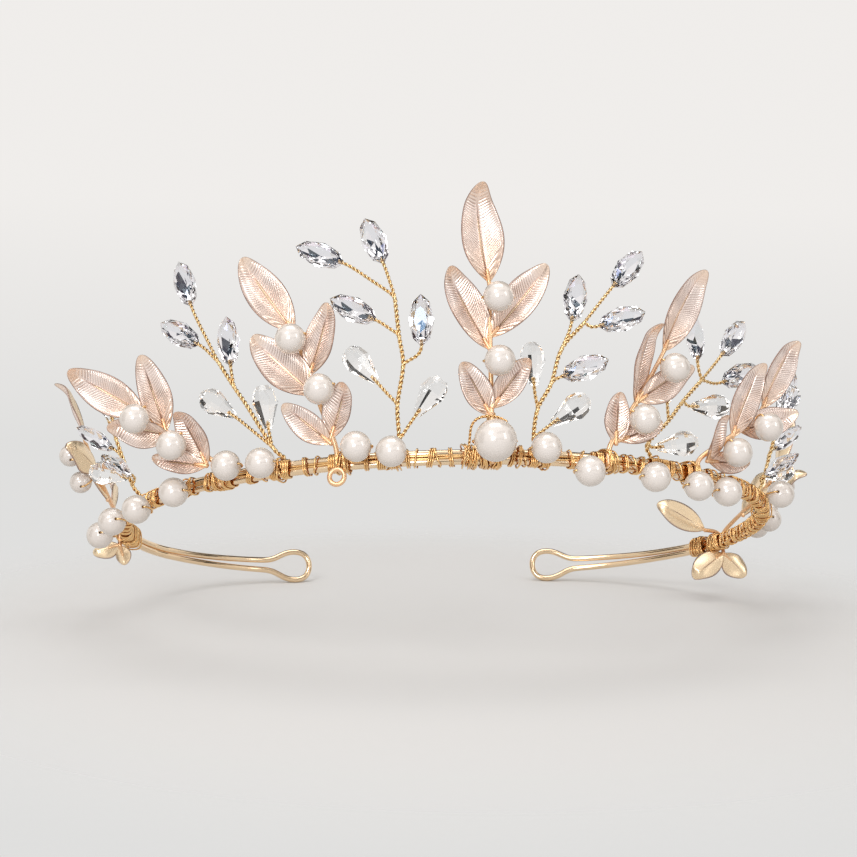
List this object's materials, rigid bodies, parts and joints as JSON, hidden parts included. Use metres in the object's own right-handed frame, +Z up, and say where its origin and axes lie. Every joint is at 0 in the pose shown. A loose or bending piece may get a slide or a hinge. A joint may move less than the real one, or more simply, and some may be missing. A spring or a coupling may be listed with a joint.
{
  "type": "bridal tiara",
  "caption": "Springy double-wire headband tiara with hairpin ends, dressed along the front and sides with leaf sprigs, crystal branches and pearls bound on with fine wire.",
  "frame": {"origin": "centre of the head opening, in the plane of the band", "axes": "+Z up as worn, -Y towards the forehead side, +X to the viewer's right; the band plane drops 21 degrees from the forehead to the ends"},
  "size_m": [0.1783, 0.1181, 0.0971],
  "materials": {
    "champagne_gold_wire": "polished champagne gold plate",
    "fine_gold_wire": "bright yellow gold fine wire",
    "twisted_gold_wire": "bright twisted gold wire",
    "rose_gold_casting": "satin rose gold plate with engraved veins",
    "imitation_pearl": "glossy ivory pearl coating",
    "clear_crystal": "faceted, polished",
    "clear_bead": "faceted, polished"
  },
  "bodies": {
    "dressed_band": {"band_cross_wraps": "fine_gold_wire", "band_pearl_wires_left": "fine_gold_wire", "band_pearl_wires_right": "fine_gold_wire", "band_pearls_left": "imitation_pearl", "band_pearls_right": "imitation_pearl", "band_strand_back": "fine_gold_wire", "band_strand_front": "fine_gold_wire", "band_wire_lower": "champagne_gold_wire", "band_wire_upper": "champagne_gold_wire", "branch_bindings_left": "fine_gold_wire", "branch_bindings_right": "fine_gold_wire", "branch_wire_back_left": "twisted_gold_wire", "branch_wire_back_right": "twisted_gold_wire", "branch_wire_front_left": "twisted_gold_wire", "branch_wire_front_right": "twisted_gold_wire", "branch_wire_side_left": "twisted_gold_wire", "branch_wire_side_right": "twisted_gold_wire", "centre_pearl": "imitation_pearl", "centre_pearl_wire": "fine_gold_wire", "crystals_back_left": "clear_crystal", "crystals_back_right": "clear_crystal", "crystals_front_left": "clear_crystal", "crystals_front_right": "clear_crystal", "crystals_side_left": "clear_crystal", "crystals_side_right": "clear_crystal", "drop_beads_back_left": "clear_bead", "drop_beads_back_right": "clear_bead", "drop_beads_front_left": "clear_bead", "drop_beads_front_right": "clear_bead", "drop_beads_side_left": "clear_bead", "drop_beads_side_right": "clear_bead", "end_binding_left": "fine_gold_wire", "end_binding_right": "fine_gold_wire", "leaf_sprig_back_left": "rose_gold_casting", "leaf_sprig_back_right": "rose_gold_casting", "leaf_sprig_centre": "rose_gold_casting", "leaf_sprig_front_left": "rose_gold_casting", "leaf_sprig_front_right": "rose_gold_casting", "leaf_sprig_side_left": "rose_gold_casting", "leaf_sprig_side_right": "rose_gold_casting", "pearl_wires_back_left": "fine_gold_wire", "pearl_wires_back_right": "fine_gold_wire", "pearl_wires_centre": "fine_gold_wire", "pearl_wires_front_left": "fine_gold_wire", "pearl_wires_front_right": "fine_gold_wire", "pearl_wires_side_left": "fine_gold_wire", "pearl_wires_side_right": "fine_gold_wire", "sprig_binding_centre": "fine_gold_wire", "sprig_bindings_left": "fine_gold_wire", "sprig_bindings_right": "fine_gold_wire", "sprig_pearls_back_left": "imitation_pearl", "sprig_pearls_back_right": "imitation_pearl", "sprig_pearls_centre": "imitation_pearl", "sprig_pearls_front_left": "imitation_pearl", "sprig_pearls_front_right": "imitation_pearl", "sprig_pearls_side_left": "imitation_pearl", "sprig_pearls_side_right": "imitation_pearl"},
    "left_arm": {"left_arm_wire": "champagne_gold_wire"},
    "right_arm": {"right_arm_wire": "champagne_gold_wire"}
  },
  "joints": [
    {"name": "left_arm_flex", "type": "hinge", "parent": "dressed_band", "child": "left_arm", "pos_m": [-0.07284, 0.01938, -0.00744], "axis": [0, 0.3584, 0.9336], "range_deg": [-4, 10], "stiffness_Nm_per_rad": 0.15},
    {"name": "right_arm_flex", "type": "hinge", "parent": "dressed_band", "child": "right_arm", "pos_m": [0.06764, 0.03214, -0.01234], "axis": [0, -0.3584, -0.9336], "range_deg": [-4, 10], "stiffness_Nm_per_rad": 0.15}
  ]
}
